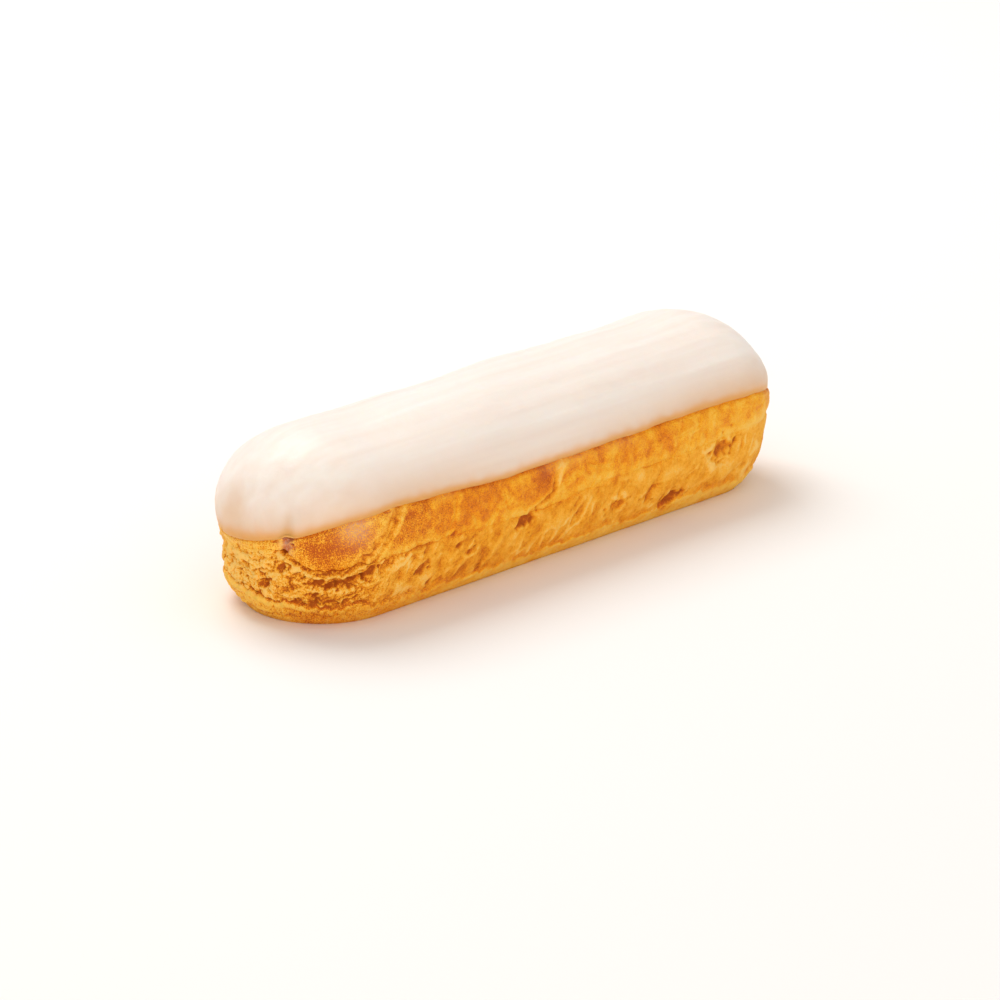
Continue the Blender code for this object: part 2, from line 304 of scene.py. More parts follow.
def columns(count, closer):
    """Distances along the outline, the same on the front and the back, set closer at the near
    end: their number per metre falls off there by the given factor."""
    fine = np.linspace(0, HALF_OUTLINE, 4000)
    density = 1 + (closer - 1) * (1 - smooth_step((fine - CLOSE_UP_TO) / CLOSE_FADE))
    counted = np.concatenate([[0], np.cumsum(density[1:])])
    front = np.interp(np.linspace(0, counted[-1], count // 2 + 1), counted, fine)
    return np.concatenate([-front[:0:-1], front[:-1]])


along = columns(COLUMNS, CLOSER)
spacing = np.diff(along) / MM
print("columns are", spacing.min().round(2), "to", spacing.max().round(2), "mm apart")

# %% Rows
ROWS = {"tray": 4, "crust": 12, "torn": 44, "cap": 30, "crown": 7}


def band_rows(low, high, count):
    """Rows at the middles of count equal shares between two lines."""
    shares = (np.arange(count) + 0.5) / count
    return low[:, None] + (high - low)[:, None] * shares


crust_up, lip_up, icing_up = (up_to(l(along)) for l in (crust_line, lip_line, icing_line))
foot_up = np.zeros(COLUMNS)
up = np.concatenate([
    band_rows(foot_up, crust_up, ROWS["crust"]),
    band_rows(crust_up, lip_up, ROWS["torn"]),
    band_rows(lip_up, icing_up, ROWS["cap"]),
    band_rows(icing_up, foot_up + CREST, ROWS["crown"]),
], axis=1)
up[:, 0], up[:, -1] = 0, CREST
along_2d = np.broadcast_to(along[:, None], up.shape)
print("the bun's grid is", up.shape[0], "columns by", up.shape[1], "rows above the underside")

# %% [markdown]
# ## Slow swellings
#
# Steam doesn't lift the dough evenly, so the finger swells here and sinks there by up to a
# millimetre, and its far foot shrank inwards. It could be sculpted by hand, but both the bun and
# the fondant on it must follow the same form. So the form is a function that both can ask.

# %% The whole form's unevenness
SWELLINGS = [  # centre in mm, reach in mm, height in mm
    ((-62, -4, 34), 12, 0.5),
    ((-46, -4, 36), 10, -0.5),
    ((58, 4, 33), 20, 0.9),
    ((-74.5, 3, 24.5), 4.5, -1.0),
    ((-73, -9, 25), 3.2, -1.1),
    ((-75.5, -3, 23.5), 4, 0.4),
    ((10, 20, 28), 18, 0.5),
    ((73, -7, 19), 7, 0.7),
    ((40, -2, 37), 12, -0.25),
]
FAR_TUCK = 2.4 * MM  # how far the far end leans in at the floor
FOOT_TUCK, FOOT_HEIGHT = 2.6 * MM, 8 * MM  # the far foot curls in by this much more


def lumps(points):
    """Slow swellings: noise 16 mm across, and a bell for each named one."""
    total = 0.35 * MM * noise(points, 16 * MM, 1)
    for centre, reach, height in SWELLINGS:
        apart = np.linalg.norm(points - np.array(centre) * MM, axis=-1)
        total = total + height * MM * bump(apart, reach * MM)
    return total


def tuck(points):
    """Leans the far end's foot inwards, most at the tip and none above the belt."""
    past_spine = np.clip((points[..., 0] - SPINE / 2) / RADIUS, 0, 1)
    below_belt = np.clip(1 - points[..., 2] / BELT, 0, 1)
    in_foot = np.clip(1 - points[..., 2] / FOOT_HEIGHT, 0, 1)
    moved = points.copy()
    moved[..., 0] -= FAR_TUCK * past_spine**2 * below_belt + FOOT_TUCK * past_spine * in_foot**1.5
    return moved


def span(values):
    """The lowest and the highest value, in words."""
    return f"{values.min() / MM:.2f} to {values.max() / MM:.2f} mm"


smooth, outwards, upwards = finger(along_2d, up)
height = smooth[..., 2]
form = lumps(smooth)
print("swellings run from", span(form))

# %% [markdown]
# ## Steps between the bands
#
# Every relief below is a distance outwards from the smooth finger. The cap and the crust overhang
# the torn band, strongly in some places and hardly in others. Separate pieces could overlap like
# that, but it is one dough, so the skin steps in and out. Where an edge is weak, its step is
# drawn out into a slope, and the tear's ragged border wanders over it.


# %% Where a point is
def near(place, reach):
    """1 at a place along the outline, falling away like a bell, both in mm."""
    return bump(along_2d - place * MM, reach * MM)


def beyond(start, reach):
    """0 up to a distance from the near tip, then an even rise to 1 over the reach, in mm."""
    return smooth_step((np.abs(along_2d) - start * MM) / (reach * MM))


def at_height(middle, reach):
    """1 at a height, falling away like a bell, both in mm."""
    return bump(height - middle * MM, reach * MM)


def spot(place, middle, reach, squash=1.0):
    """1 at a spot of the flank, falling away like a bell, in mm. A squash under 1 makes the
    spot taller than it is wide."""
    across, over = along_2d - place * MM, height - middle * MM
    return bump(np.hypot(across, squash * over), reach * MM)


from_crust = up - crust_up[:, None]  # how far above the crust's edge
from_lip = up - lip_up[:, None]  # how far above the cap's lip
to_icing = icing_up[:, None] - up  # how far below the icing's edge
print("rows reach", round(from_lip.max() / MM), "mm above the cap's lip")

# %% How strongly each edge overhangs
ragged = 1.1 * MM * layered_noise(smooth, 2.2 * MM, 23, 3)
crust_strength = np.clip(0.15 + 0.6 * noise(smooth, 13 * MM, 21) + 0.95 * near(7, 17), 0, 1)
crust_reach = (0.5 + 2.0 * (1 - crust_strength)) * MM
# The near tip hardly has an overhang: the tear there runs up into the cap.
off_the_tip = smooth_step((np.abs(along_2d + 4 * MM) - 9 * MM) / (5 * MM))
patches = smooth_step(1.8 * noise(smooth, 12 * MM, 24))
lip_strength = 0.15 + off_the_tip * np.clip(0.12 + 0.85 * near(24, 17) + 0.55 * patches, 0, 0.85)
lip_reach = (0.4 + 1.8 * (1 - lip_strength)) * MM
print("the lip overhangs with a strength of up to", lip_strength.max().round(2))

# %% Shares of each band: 1 inside it, 0 outside, and a slope between
EDGE_SLOPE = 0.3 * MM
torn = smooth_step((from_crust + ragged) / crust_reach) * smooth_step(
    (ragged * (1 - lip_strength) - from_lip) / lip_reach)
under_icing = smooth_step(-to_icing / (1.0 * MM))
cap = (1 - smooth_step(-from_lip / EDGE_SLOPE)) * (1 - under_icing)
crust = 1 - smooth_step(from_crust / EDGE_SLOPE)
print("the torn band takes", round(float(torn.mean()), 2), "of the grid")

# %% The bands' levels
CAP_LEVEL, TORN_LEVEL, CRUST_LEVEL = -0.45 * MM, -0.5 * MM, -0.3 * MM
COVERED_LEVEL = -1.5 * MM  # the crown keeps clear of the fondant
CAP_CROWN = 0.3 * MM  # the cap bulges between its two edges
LIP_ROLL, LIP_ROLL_REACH = 0.5 * MM, 0.9 * MM  # and rolls in at its lip
ICING_PINCH, ICING_PINCH_REACH = 0.35 * MM, 1.2 * MM  # and is pinched below the icing
LIP_UNDERCUT, LIP_UNDERCUT_REACH = 1.0 * MM, 1.7 * MM
CRUST_UNDERCUT, CRUST_UNDERCUT_REACH = 0.95 * MM, 1.0 * MM
CRUST_RIM, CRUST_RIM_REACH = 0.3 * MM, 0.6 * MM

cap_share = np.clip(from_lip / (from_lip + to_icing + 1e-9), 0, 1)
above_lip, below_lip = np.clip(from_lip, 0, None), np.clip(-from_lip, 0, None)
above_crust = np.clip(from_crust, 0, None)
cap_level = (
    CAP_LEVEL + CAP_CROWN * np.sin(np.pi * cap_share)
    - LIP_ROLL * lip_strength * np.exp(-above_lip / LIP_ROLL_REACH)
    - ICING_PINCH * smooth_step(1 - to_icing / ICING_PINCH_REACH)
)
torn_level = (
    TORN_LEVEL - LIP_UNDERCUT * lip_strength * np.exp(-below_lip / LIP_UNDERCUT_REACH)
    - CRUST_UNDERCUT * crust_strength * np.exp(-above_crust / CRUST_UNDERCUT_REACH)
)
crust_level = CRUST_LEVEL + CRUST_RIM * crust_strength * bump(from_crust + 0.3 * MM, CRUST_RIM_REACH)
crust_join = smooth_step(from_crust / (MM * (0.3 + 1.5 * (1 - crust_strength))))
level = np.where(from_lip > 0, cap_level, crust_level + (torn_level - crust_level) * crust_join)
level = level * (1 - under_icing) + COVERED_LEVEL * under_icing
print("levels run from", span(level))

# %% The pinched waist of the near end, and the folds that hang below the lip
waist = near(-13, 14) * (1.45 * MM * at_height(11.3, 2.8) + 0.65 * MM * at_height(16.5, 3))
above_fold = height - fold_line(along_2d)
waver = 0.5 * MM * layered_noise(smooth, 2.5 * MM, 25, 2)
elsewhere = 0.5 * smooth_step(2.5 * noise(smooth, 11 * MM, 22)) * beyond(32, 6)
folds = (from_lip < 0) * MM * (
    0.75 * near(20, 10) * bump(above_fold, 0.5 * MM)
    - 0.8 * near(22, 9) * bump(above_fold + 1.7 * MM, 0.9 * MM)
    + 0.5 * elsewhere * bump(from_lip + waver + 1.4 * MM, 0.4 * MM)
    + 0.3 * elsewhere * bump(from_lip - waver + 2.7 * MM, 0.4 * MM)
)
level = level - waist + folds
print("the waist takes off", span(waist), "and the folds run from", span(folds))

# %% [markdown]
# ## The torn band
#
# Torn crumb is flakes, sharp ridges, lumps and burst bubbles. Near the tip the dough parted in
# level layers. Along the sides it was pulled askew. A bump map could fake it, but the light comes
# from behind and a fake tear would stay flat. So it is real relief, made from the two noises, and
# the lattice is stretched along a level or along a slant to turn the pattern's grain.

# %% Two ways of tearing
x, y, z = np.moveaxis(smooth, -1, 0)
SHEAR = 0.8  # how far the slanted tear leans, in mm per mm of height
warp = three_noises(smooth, 4 * MM, 31)
layered = np.stack([x, y, 1.7 * z], axis=-1) + 0.9 * MM * warp
slanted = np.stack([x - SHEAR * z, y, 0.5 * (SHEAR * x + z)], axis=-1) + 0.9 * MM * warp
at_near_tip = 1 - beyond(24, 14)
along_sides = 1 - at_near_tip
print("the level tear takes", round(float(at_near_tip.mean()), 2), "of the grid")


# %% Flakes, lumps and bowls
def terraces(values, steps, steepness):
    """Turns a smooth rise into flat steps with steep fronts, like layers of flakes."""
    scaled = values * steps
    low = np.floor(scaled)
    return (low + smooth_step((scaled - low - 0.5) * steepness + 0.5)) / steps


def bubbles(points, size, seed, share):
    """Bowls in a share of the cells, 0 outside and up to 1 deep in the middle."""
    gap, own = cells(points, size, seed)
    return smooth_step(gap / 0.5) * smooth_step((share - own) / 0.2)


def chunks(points, size, seed):
    """Lumps of crumb, each at its own height from -0.5 to 0.5, with a crevice round each."""
    gap, own = cells(points, size, seed)
    return own - 0.5 - 0.6 * smooth_step(1 - gap / 0.18)


def torn_surface(points, seed):
    """One way of tearing, in metres outwards: a sum of patterns, each a depth times a shape."""
    flakes = terraces(layered_noise(points, 5.0 * MM, seed, 3), 3.2, 4)
    ridges = 1 - np.abs(layered_noise(points, 3.2 * MM, seed + 10, 3))
    jagged = points + 0.3 * MM * three_noises(points, 1.0 * MM, seed + 20)
    return (
        0.45 * MM * flakes
        + 0.2 * MM * (ridges - 0.65)
        + 0.42 * MM * chunks(jagged, 3.2 * MM, seed + 23)
        + 0.16 * MM * chunks(jagged, 1.5 * MM, seed + 24)
        - 0.4 * MM * bubbles(points, 3.0 * MM, seed + 30, 0.2)
        - 0.22 * MM * bubbles(points, 1.3 * MM, seed + 31, 0.3)
        + 0.12 * MM * noise(points, 0.8 * MM, seed + 32)
    )


print("a slanted tear runs from", span(torn_surface(slanted, 300)))

# %% Membranes and pockets
# Along the sides, walls of bubbles were stretched to thin membranes with pockets between them.
wriggled = slanted + 0.35 * MM * three_noises(smooth, 1.5 * MM, 34)
gap, own = cells(wriggled, 4.2 * MM, 141)
membranes = smooth_step(1 - gap / 0.24) * along_sides * smooth_step(2.5 * noise(smooth, 6 * MM, 142))
pockets = (own - 0.4) * smooth_step(gap / 0.35) * along_sides
roughness_of_tear = (
    0.28 + 0.72 * at_near_tip + 0.15 * noise(smooth, 9 * MM, 62)
    + 0.15 * (1 - beyond(50, 25)) * along_sides
)
torn_mix = at_near_tip * torn_surface(layered, 200) + along_sides * torn_surface(slanted, 300)
crags = (
    roughness_of_tear * torn_mix + 0.4 * MM * along_sides * noise(slanted, 4.5 * MM, 63)
    + 0.14 * MM * membranes - 0.35 * MM * pockets
)
print("crags run from", span(crags))

# %% Named holes
HOLES = [  # along in mm, height in mm, reach in mm, depth in mm
    (10.7, 19.9, 1.7, 2.0), (10.2, 17.6, 1.5, 1.5), (4.5, 9.2, 1.9, 1.2), (9, 13.4, 1.1, 0.6),
    (12, 5.8, 1.5, 0.7), (15.8, 5.4, 1.6, 0.6), (16.5, 7.7, 0.8, 0.6), (17.5, 10.6, 1.3, 0.7),
    (19.3, 9.4, 1.0, 0.7), (24, 9.9, 1.8, 0.8), (23, 5.9, 0.9, 0.6), (29.2, 12.0, 1.7, 0.7),
    (33, 12.5, 1.9, 0.6), (38.5, 13.4, 0.9, 0.5), (43.5, 9.0, 2.0, 0.5), (46, 5.0, 1.1, 0.4),
    (52, 14.6, 1.1, 0.5), (53.5, 11.6, 1.2, 0.6), (56.5, 9.4, 0.9, 0.5), (60.5, 4.6, 1.0, 0.5),
    (73.6, 12.2, 2.2, 0.9), (102, 8, 2.6, 0.5), (112, 8.5, 2, 0.5), (119.8, 4.6, 3.2, 0.8),
    (134.5, 13.2, 3.4, 0.8), (168, 9, 3.0, 0.8), (-8, 10.6, 1.0, 0.6), (-16, 8.8, 1.6, 0.7),
    (-30, 10.4, 2.4, 0.8), (-41, 6.6, 1.4, 0.5), (-52, 8.8, 1.8, 0.6), (-60, 12.2, 1.0, 0.5),
    (-74, 7.2, 2.4, 0.6), (-87, 11.8, 1.6, 0.6), (-97, 9.2, 1.0, 0.5), (-113, 8.6, 2.6, 0.7),
    (-122, 5.2, 1.2, 0.5), (-137, 11.4, 1.6, 0.6), (-151, 12, 3.0, 0.8),
]
HOLE_SLANT, HOLE_SQUASH = 0.4, 1.4  # holes lean forward, and are wider than they are tall
hole_border = 1 + 0.6 * layered_noise(smooth, 1.8 * MM, 71, 3)
holes = np.zeros(up.shape)
for place, hole_height, reach, depth in HOLES:
    across, over = along_2d - place * MM, height - hole_height * MM
    apart = np.hypot(across, HOLE_SQUASH * (over - HOLE_SLANT * across)) * hole_border
    holes += depth * MM * smooth_step(1.35 - apart / (reach * MM))
print(len(HOLES), "holes, the deepest", round(holes.max() / MM, 1), "mm")

# %% [markdown]
# ## The cap
#
# The browned cap dried first, so it cracked and shrank into fine wrinkles. Cracks could be drawn
# in the material, but a crack has raised sides that catch the light. So each one is a short way
# over the flank, with a groove along it and a low wall on either side.

# %% Cracks
CRACKS = [  # depth in mm, width in mm, then the crack's way, along and height in mm
    (0.45, 1.2, [(26, 14.4), (29, 16.9), (33, 20.3), (37, 24.2)]),
    (0.35, 0.8, [(28.5, 13.6), (32, 17.2), (35.5, 21.2)]),
    (0.30, 0.55, [(50.5, 14.8), (52, 17.2), (52.8, 21)]),
    (0.25, 0.5, [(55.5, 19), (58, 17), (59, 14.5)]),
    (0.25, 0.5, [(62, 14.5), (64.5, 17.3), (68, 18.4)]),
    (0.25, 0.5, [(66.5, 20.5), (67.5, 16.5)]),
    (0.40, 0.8, [(75, 13.6), (81.5, 16.5), (82, 19), (85, 23)]),
    (0.25, 0.5, [(81.5, 17), (86.5, 18.5), (90, 19.5)]),
    (0.25, 0.4, [(92, 20.5), (95, 18.5), (99, 18)]),
    (0.25, 0.4, [(121, 19.5), (127, 20.5)]),
    (0.6, 0.7, [(-52, 12.8), (-56, 17), (-55, 23.6)]),
    (0.4, 0.5, [(-82, 14.8), (-86, 18), (-85, 21)]),
    (0.5, 0.6, [(-110, 13.6), (-115, 18), (-121, 22.8)]),
    (0.35, 0.4, [(-137, 14.8), (-139, 19)]),
    (0.4, 0.5, [(-16, 16), (-19, 19.5)]),
]
WIDE = 0.55  # cracks wider than this, in mm, show torn crumb inside


def distance_to_way(way):
    """How far each point is from a way of straight stretches, with a wriggle added to both."""
    here = np.stack([along_2d, height], axis=-1) + 0.35 * MM * warp[..., :2]
    closest = np.full(up.shape, 1.0)
    for start, end in zip(np.array(way[:-1]) * MM, np.array(way[1:]) * MM):
        stretch = end - start
        share = np.clip((here - start) @ stretch / (stretch @ stretch), 0, 1)
        apart = np.linalg.norm(here - start - share[..., None] * stretch, axis=-1)
        closest = np.minimum(closest, apart)
    return closest


cracked, wide_cracks, crack_depth = (np.zeros(up.shape) for _ in range(3))
for depth, width, way in CRACKS:
    apart, reach = distance_to_way(way), width * MM
    groove, walls = bump(apart, reach), bump(apart - 1.3 * reach, 0.6 * reach)
    crack_depth += depth * MM * (groove - 0.45 * walls)
    cracked = np.maximum(cracked, bump(apart, 1.2 * reach))
    if width > WIDE:
        wide_cracks = np.maximum(wide_cracks, bump(apart + 0.5 * ragged, 1.2 * reach))
print(len(CRACKS), "cracks, the deepest", round(crack_depth.max() / MM, 2), "mm")

# %% Wrinkles
wrinkles = (
    0.2 * MM * layered_noise(smooth, 3.2 * MM, 81, 2)
    + 0.06 * MM * layered_noise(smooth, 0.9 * MM, 83, 2)
    - 0.12 * MM * smooth_step(2 - 9 * np.abs(noise(smooth, 4.5 * MM, 84)))
)
print("wrinkles run from", span(wrinkles))

# %% [markdown]
# ## Add the reliefs together
#
# Each relief counts only in its own band, so it is multiplied by that band's share. Dough also
# tears in tongues: the cap's lip is dragged down and the crust's rim up. Outward relief alone
# can't do that, so a second move slides the points along the flank.

# %% The finished skin above the underside
rough = np.maximum(torn, smooth_step(1.8 * wide_cracks - 0.4) * cap)
torn_relief = crags * rough - holes * np.maximum(torn, 0.6 * cap)
cap_relief = (wrinkles - crack_depth) * cap
crust_relief = crust * smooth_step(height / (1.5 * MM)) * (
    0.2 * MM * layered_noise(smooth, 2.2 * MM, 91, 4)
    + 0.1 * MM * noise(smooth, 0.9 * MM, 96)
    + (0.35 + 0.45 * near(-3, 13)) * crags
)
relief = level + torn_relief + cap_relief + crust_relief
tongues = noise(smooth, 1.7 * MM, 95)
drag = (
    -(0.5 + 0.3 * tongues) * MM * bump(from_lip - 0.1 * MM, 0.45 * MM) * lip_strength
    + (0.4 + 0.5 * tongues) * MM * crust_strength * bump(from_crust + 0.2 * MM, 0.4 * MM)
)
points = tuck(smooth + outwards * (form + relief)[..., None] + upwards * drag[..., None])
points[:, 0, 2] = 0
points[..., 2] = points[..., 2].clip(0)
print("relief of the torn band runs from", span(torn_relief))

# %% [markdown]
# ## Measures for the material
#
# Hollows get painted shade: light that enters a hollow comes back dim and orange, so they are
# coloured darker and more orange. Blender could measure hollows in the material, but only in its
# own renders. So they are measured here, from the shape, and kept on the points for the material to
# read.


# %% How deep each point lies among its neighbours
def blurred(values, reach):
    """Values averaged over a square of grid neighbours, wrapping round the outline."""
    kernel = np.ones(2 * reach + 1) / (2 * reach + 1)
    wrapped = np.concatenate([values[-reach:], values, values[:reach]])
    across = np.apply_along_axis(np.convolve, 0, wrapped, kernel, "valid")
    padded = np.pad(across, ((0, 0), (reach, reach)), mode="edge")
    return np.apply_along_axis(np.convolve, 1, padded, kernel, "valid")


HOLLOW_DEPTH, FINE_HOLLOW_DEPTH = 0.6 * MM, 0.2 * MM  # a dent this deep counts as 1
wide_mean = blurred(blurred(relief, 5), 5)
dryness = 0.35 + 0.65 * (1 - beyond(20, 40)) + 0.3 * near(0, 14)
# hollow_shade is painted shade: the deeper a point lies among its neighbours, the darker and more orange
# it is painted, and dryness scales how strongly.
hollow_shade = np.clip((wide_mean - relief) / HOLLOW_DEPTH + 0.35 * holes / MM, -1, 1)
# Along the front the skin is smoother, so its few holes get stronger painted shade.
hole_shade = 0.12 + 1.2 * smooth_step((along_2d - 35 * MM) / (12 * MM))
hollow_shade = hollow_shade * (0.3 + 0.7 * dryness) + hole_shade * holes / MM
fine_hollow_shade = np.clip((blurred(relief, 2) - relief) / FINE_HOLLOW_DEPTH, -1, 1) * dryness
print("hollows:", round(float((hollow_shade > 0.3).mean()), 2), "of the skin")

# %% Where the oven browned it more or less, and where the cap is glossier and gets a painted sheen
# The near tip's paler patch at along -6 mm is partly paler dough and partly painted light, standing in
# for light thrown up from below.
TOASTED = [  # along in mm, height in mm, reach in mm, how much browner
    (18.5, 17.5, 5.5, 1.1), (20, 8.5, 8, 1.1), (37.5, 19.5, 2.6, 0.9), (45, 21, 9, 0.35),
    (-6, 12, 10, -1.7), (28, 18, 4, -0.2), (10.4, 18.5, 2, 0.5), (17, 2, 8, 0.4),
    (56, 19, 9, 0.2), (40, 8, 5, 0.4), (42, 13.8, 5, -0.5), (58, 11, 6, 0.5), (88, 10, 5, 0.6),
    (122, 9, 6, 0.5), (104, 12, 4, 0.4), (79, 21, 3, 0.8), (108, 19, 6, 0.4), (96, 20, 4, 0.3),
    (57, 22, 7, 0.3), (30, 11.2, 3, 0.6), (100, 16, 30, -0.2), (125, 20, 22, -0.5),
    (150, 18, 22, -0.5), (-60, 19, 25, 0.3), (-120, 18, 20, -0.2), (-48, 9, 8, 0.7),
    (-100, 8, 7, 0.6), (-146, 10, 7, 0.5),
]
toast = 0.35 * noise(smooth, 8 * MM, 121) + 0.3 * noise(smooth, 3 * MM, 122) + 0.35 * pockets * torn
for place, toast_height, reach, amount in TOASTED:
    toast = toast + amount * spot(place, toast_height, reach)
below_icing = smooth_step(1 - to_icing / (4 * MM))
# Below the icing the cap gets a painted sheen, speckled, and a lower roughness there too.
gloss_and_sheen = (
    spot(25.5, 22, 3.5) + 1.3 * spot(10.4, 18.7, 1.4, 0.55)
    + 0.3 * smooth_step(1.5 * noise(smooth, 14 * MM, 123)) * below_icing
)
print("browning runs from", toast.min().round(1), "to", toast.max().round(1))

# %% [markdown]
# ## The underside
#
# The tray side is flat, smooth and a little darker. It could be one flat face, but a face with
# hundreds of corners shades badly, so the rows simply go on inwards to the line under the spine,
# where the front and the back meet.

# %% Rows of the underside
shares = (np.arange(ROWS["tray"]) / ROWS["tray"])[None, :, None]
foot_x = outline(along)[0]
centre_line = np.stack([foot_x, 0 * foot_x, 0 * foot_x], axis=-1)[:, None]
edge = points[:, :1]
underside = centre_line + (edge - centre_line) * shares
skin = np.concatenate([underside, points], axis=1)
print("the bun's grid is now", skin.shape[:2])

# %% [markdown]
# ## From grid to mesh
#
# A grid becomes a mesh by giving each square of neighbours a face. The first and last columns are
# neighbours too, because the outline is a loop. Along the spine the columns of the front and the
# back land on the same points, above and below, so those are merged and the skin closes.

# %% Turn a grid into a closed piece
SAME_PLACE = 1e-7  # points closer than this, in metres, are one point


def grid_mesh(name, grid, attributes):
    """A mesh whose faces join each point of the grid to the next column, which wraps, and to the
    next row. Points that coincide are merged, and attributes are given for each grid point."""
    columns, rows = grid.shape[:2]
    number = np.arange(columns * rows).reshape(columns, rows)
    right = np.roll(number, -1, axis=0)
    squares = np.stack([number[:, :-1], right[:, :-1], right[:, 1:], number[:, 1:]], axis=-1)
    flat = grid.reshape(-1, 3)
    rounded = np.round(flat / SAME_PLACE).astype(np.int64)
    _, first, same = np.unique(rounded, axis=0, return_index=True, return_inverse=True)
    faces = same.ravel()[squares.reshape(-1, 4)]
    kept = [tuple(dict.fromkeys(face)) for face in faces.tolist()]
    mesh = bpy.data.meshes.new(name)
    mesh.from_pydata(flat[first], [], [face for face in kept if len(face) > 2])
    for title, values in attributes.items():
        layer = mesh.attributes.new(title, "FLOAT", "POINT")
        layer.data.foreach_set("value", values.reshape(-1)[first].astype(np.float32))
    mesh.validate()
    mesh.shade_smooth()
    piece = bpy.data.objects.new(name, mesh)
    bpy.context.scene.collection.objects.link(piece)
    print(name, "has", len(mesh.polygons), "faces")
    return piece


# %% The bun
lip = bump(from_lip - 0.2 * MM, 2.0 * MM) + crust_strength * bump(from_crust, 0.9 * MM)
MEASURES = {  # the values above the underside, and the one value of the underside
    "torn": (rough, 0.0),
    "hollow_shade": (hollow_shade, 0.0),
    "fine_hollow_shade": (fine_hollow_shade, 0.0),
    "cracked": (cracked * cap, 0.0),
    "lip": (lip, 0.0),
    "toast": (toast, 0.2),
    "membrane": (membranes, 0.0),
    "gloss_and_sheen": (gloss_and_sheen * cap, 0.0),
    "dryness": (dryness, 0.4),
    # A painted shadow along the cap just below the icing's edge, with some real browning there.
    "shade_and_browning_under_icing": (bump(np.clip(to_icing, 0, None), 0.9 * MM), 0.0),
    # The crust band is painted paler, more so past the near end: partly its own colour, partly painted
    # light standing in for light thrown up from below.
    "crust": (crust * (1 + 0.5 * beyond(40, 20)), 1.0),
}
bun = grid_mesh("bun", skin, {
    title: np.concatenate([np.full((COLUMNS, ROWS["tray"]), below), values], axis=1)
    for title, (values, below) in MEASURES.items()
})

# %% [markdown]
# ## The fondant
#
# Warm fondant is about as thick as honey. The crown is dipped in it, lifted out and wiped level,
# and it sets with a satin skin, 1 to 1.5 mm thick, that ends in a thin rounded edge. It follows
# the bun's slow swellings, and carries faint lengthwise ripples from the wipe. It could be made
# by thickening a copy of the bun's crown, but then it would copy the wrinkles too. So it is its
# own closed skin on a grid of the same kind: up the outside and back down the inside.

# %% The fondant's grid
ICING_COLUMNS, ICING_CLOSER = 640, 1.2
EDGE_ROWS, OUTSIDE_ROWS, INSIDE_ROWS = 8, 60, 10
icing_along = columns(ICING_COLUMNS, ICING_CLOSER)
icing_start = up_to(icing_line(icing_along))[:, None]
rise = CREST - icing_start
outside_up = icing_start + rise * (np.arange(1, OUTSIDE_ROWS + 1) / OUTSIDE_ROWS) ** 1.25
inside_up = icing_start + rise * (np.arange(INSIDE_ROWS, 0, -1) / INSIDE_ROWS) ** 1.5


def icing_surface(up_section, raised):
    """Points over the bun's slow form, raised by a height."""
    where = np.broadcast_to(icing_along[:, None], up_section.shape)
    base, normal, _ = finger(where, up_section)
    return tuck(base + normal * (lumps(base) + raised)[..., None])


where = np.broadcast_to(icing_along[:, None], outside_up.shape)
base = finger(where, outside_up)[0]
above_edge = outside_up - icing_start
print("the fondant reaches", round(above_edge.max() / MM), "mm up from its edge")

# %% Its surface
EDGE_LEVEL = -0.5 * MM  # the edge thins to this, and above it the skin settles level with the form
INSIDE_LEVEL = -1.4 * MM
SETTLES_OVER = 4 * MM
NOTCH = 10.6 * MM  # where the edge is notched, along the outline
CREASE_DEPTH, CREASE_WIDTH, CREASE_HEIGHT = 0.5 * MM, 1.5 * MM, 5 * MM

wiped = smooth_step(above_edge / (5 * MM)) * smooth_step((base[..., 0] + 50 * MM) / (30 * MM))
lengthwise = base * [0.06, 1, 1]
ripples = wiped * (
    0.16 * MM * noise(lengthwise, 3.0 * MM, 101) + 0.07 * MM * noise(lengthwise, 1.3 * MM, 102))
dimples = 0.10 * MM * noise(base, 4 * MM, 103) + 0.05 * MM * noise(base, 1.8 * MM, 104)
crease = CREASE_DEPTH * bump(where - NOTCH, CREASE_WIDTH) * bump(above_edge, CREASE_HEIGHT)
thinning = EDGE_LEVEL * (1 - smooth_step(above_edge / SETTLES_OVER) ** 0.5)
outside = icing_surface(outside_up, thinning + ripples + dimples - crease)
inside = icing_surface(inside_up, INSIDE_LEVEL + 0 * inside_up)
print("ripples run from", span(ripples))

# %% Its rounded edge
EDGE_RADIUS = 0.32 * MM
turn = np.linspace(0.5, -0.75, EDGE_ROWS) * np.pi
edge_up = icing_start - EDGE_RADIUS * np.cos(turn) * 0.9
edge_raised = EDGE_LEVEL - EDGE_RADIUS + EDGE_RADIUS * np.sin(turn)
edge = icing_surface(edge_up, np.broadcast_to(edge_raised, edge_up.shape))[:, ::-1]
fondant_grid = np.concatenate([inside, edge, outside], axis=1)
print("the fondant's grid is", fondant_grid.shape[:2])

# %% Where it is thin, and where it gets painted tan shade: low down, in the near end's dimple and by the notch
unseen = np.ones((ICING_COLUMNS, INSIDE_ROWS + EDGE_ROWS))
thin_reach = (1.2 + 0.9 * bump(where, 13 * MM) + 0.35 * noise(base, 2.5 * MM, 105)) * MM
thin = bump(above_edge, thin_reach)
far_share = smooth_step((base[..., 0] + 10 * MM) / (70 * MM))
mid_share = smooth_step((base[..., 0] + 50 * MM) / (40 * MM))
dip = bump(np.linalg.norm(base - np.array([-74, 4, 24]) * MM, axis=-1), 5 * MM)
painted_low_shade = (
    bump(above_edge, 5.5 * MM) * (1.15 - 0.65 * mid_share + 1.0 * far_share)
    + 0.8 * dip
    + 0.45 * bump(where - NOTCH, 1.4 * MM) * bump(above_edge - 1.5 * MM, 3.5 * MM)
    + 0.16 * noise(base, 2.6 * MM, 106) * bump(where - 4 * MM, 30 * MM)
)
